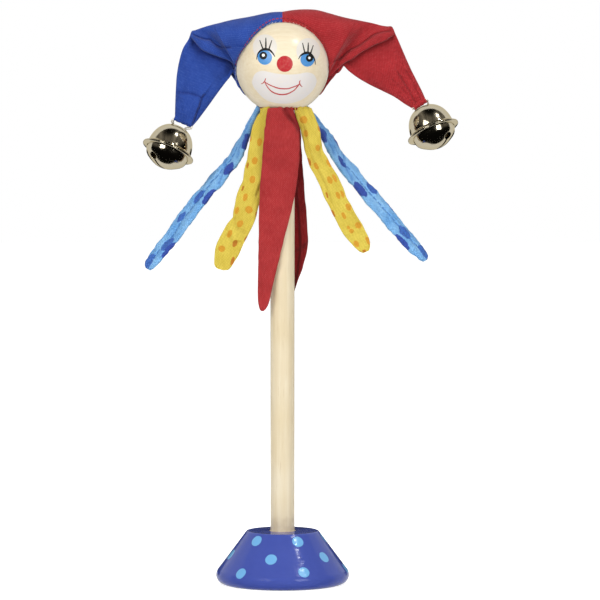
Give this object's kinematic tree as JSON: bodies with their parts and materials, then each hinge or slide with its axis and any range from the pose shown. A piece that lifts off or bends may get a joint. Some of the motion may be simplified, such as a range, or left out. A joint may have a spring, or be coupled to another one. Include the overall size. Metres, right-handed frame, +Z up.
{
  "type": "jester head on a stick with a stand",
  "caption": "Wooden ball head with a two-horned cloth hat, jingle bells and hanging cloth strips, on a round stick that lifts out of a turned wooden base.",
  "frame": {"origin": "centre of the base's flat underside, on the stick's axis", "axes": "+Z up along the stick, the face looks along -Y, +X towards the red horn"},
  "size_m": [0.1567, 0.0664, 0.2859],
  "materials": {
    "lacquered_blue_wood": "gloss blue lacquer with painted light-blue dots over turned wood",
    "natural_wood": "clear satin lacquer over pale close-grained wood",
    "blue_cotton": "plain-woven matt cotton",
    "red_cotton": "plain-woven matt cotton",
    "yellow_dotted_cotton": "plain-woven cotton printed with orange dots",
    "blue_dotted_cotton": "plain-woven cotton printed with darker blue dots",
    "white_cord": "twisted white thread",
    "nickel_plate": "bright nickel plating on pressed steel",
    "steel_pellet": "plain steel ball"
  },
  "bodies": {
    "base": {"base": "lacquered_blue_wood"},
    "stick": {"stick": "natural_wood", "head": "natural_wood", "neck_washer": "red_cotton", "hat_left": "blue_cotton", "hat_right": "red_cotton"},
    "left_horn": {"left_horn_tip": "blue_cotton", "left_tip_hem": "blue_cotton"},
    "right_horn": {"right_horn_tip": "red_cotton", "right_tip_hem": "red_cotton"},
    "left_bell": {"left_bell_cord": "white_cord", "left_bell_top": "nickel_plate", "left_bell_bottom": "nickel_plate"},
    "right_bell": {"right_bell_cord": "white_cord", "right_bell_top": "nickel_plate", "right_bell_bottom": "nickel_plate"},
    "left_pellet": {"left_bell_pellet": "steel_pellet"},
    "right_pellet": {"right_bell_pellet": "steel_pellet"},
    "red_front": {"red_front_strip": "red_cotton"},
    "red_back": {"red_back_strip": "red_cotton"},
    "yellow_left": {"yellow_left_strip": "yellow_dotted_cotton"},
    "yellow_right": {"yellow_right_strip": "yellow_dotted_cotton"},
    "blue_left": {"blue_left_strip": "blue_dotted_cotton"},
    "blue_right": {"blue_right_strip": "blue_dotted_cotton"}
  },
  "joints": [
    {"name": "stick_lift", "type": "slide", "parent": "base", "child": "stick", "axis": [0, 0, 1], "range_m": [0, 0.03]},
    {"name": "left_horn_flop", "type": "hinge", "parent": "stick", "child": "left_horn", "pos_m": [-0.0356, 0, 0.26453], "axis": [0.6705, 0, -0.7419], "range_deg": [-30, 30]},
    {"name": "left_bell_swing", "type": "hinge", "parent": "left_horn", "child": "left_bell", "pos_m": [-0.04905, 0, 0.23023], "axis": [0.9006, 0, -0.4347], "range_deg": [-60, 60]},
    {"name": "left_pellet_roll", "type": "hinge", "parent": "left_bell", "child": "left_pellet", "pos_m": [-0.05575, 0, 0.21784], "axis": [0, 1, 0], "range_deg": [-90, 90]},
    {"name": "right_horn_flop", "type": "hinge", "parent": "stick", "child": "right_horn", "pos_m": [0.042, 0, 0.26773], "axis": [-0.7914, 0, -0.6113], "range_deg": [-30, 30]},
    {"name": "right_bell_swing", "type": "hinge", "parent": "right_horn", "child": "right_bell", "pos_m": [0.0679, 0, 0.23893], "axis": [-0.8031, 0, -0.5958], "range_deg": [-60, 60]},
    {"name": "right_pellet_roll", "type": "hinge", "parent": "right_bell", "child": "right_pellet", "pos_m": [0.07387, 0, 0.22727], "axis": [0, 1, 0], "range_deg": [-90, 90]},
    {"name": "red_front_swing", "type": "hinge", "parent": "stick", "child": "red_front", "pos_m": [0, -0.0125, 0.2369], "axis": [-1, 0, 0], "range_deg": [0, 40]},
    {"name": "red_back_swing", "type": "hinge", "parent": "stick", "child": "red_back", "pos_m": [0, 0.0125, 0.2369], "axis": [1, 0, 0], "range_deg": [0, 40]},
    {"name": "yellow_left_swing", "type": "hinge", "parent": "stick", "child": "yellow_left", "pos_m": [-0.01133, -0.00528, 0.2369], "axis": [-0.4226, 0.9063, 0], "range_deg": [-6, 25]},
    {"name": "yellow_right_swing", "type": "hinge", "parent": "stick", "child": "yellow_right", "pos_m": [0.01133, -0.00528, 0.2369], "axis": [-0.4226, -0.9063, 0], "range_deg": [-6, 25]},
    {"name": "blue_left_swing", "type": "hinge", "parent": "stick", "child": "blue_left", "pos_m": [-0.01093, 0.00606, 0.2369], "axis": [0.4848, 0.8746, 0], "range_deg": [-12, 10]},
    {"name": "blue_right_swing", "type": "hinge", "parent": "stick", "child": "blue_right", "pos_m": [0.01093, 0.00606, 0.2369], "axis": [0.4848, -0.8746, 0], "range_deg": [-12, 10]}
  ]
}
